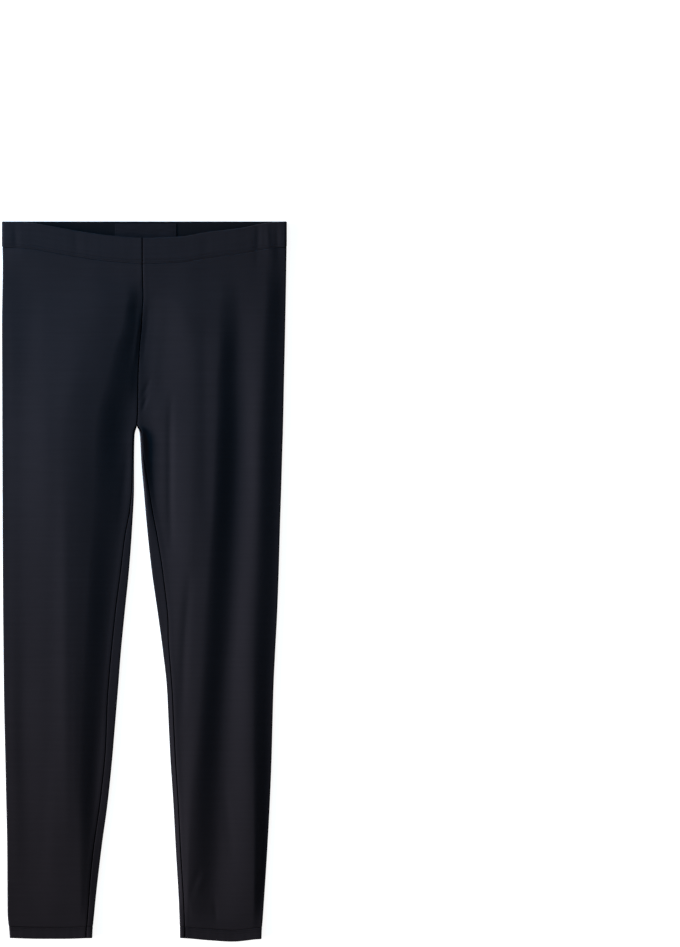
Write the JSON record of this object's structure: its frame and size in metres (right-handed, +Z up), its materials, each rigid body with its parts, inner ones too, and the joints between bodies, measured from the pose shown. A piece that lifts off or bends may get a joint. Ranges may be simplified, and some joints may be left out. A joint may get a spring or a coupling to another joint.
{
  "type": "leggings",
  "caption": "Full-length black stretch jersey leggings, laid flat with the front up, with an elastic waist casing and turned ankle hems.",
  "frame": {"origin": "middle of the garment's footprint, on the surface that it lies on", "axes": "+Y from the hems to the waist, +X towards the wearer's left leg, +Z up off the surface, through the front face"},
  "size_m": [0.399, 1.008, 0.008],
  "materials": {
    "jersey": "matt black stretch jersey with a soft sheen",
    "casing": "matt black stretch jersey with a soft sheen",
    "hem": "matt black stretch jersey with a soft sheen",
    "tape": "smooth black woven tape",
    "thread": "black sewing thread"
  },
  "bodies": {
    "root": {"right_leg": "jersey", "left_leg": "jersey", "waistband": "casing", "right_hem": "hem", "left_hem": "hem", "waist_label": "tape"}
  },
  "joints": []
}
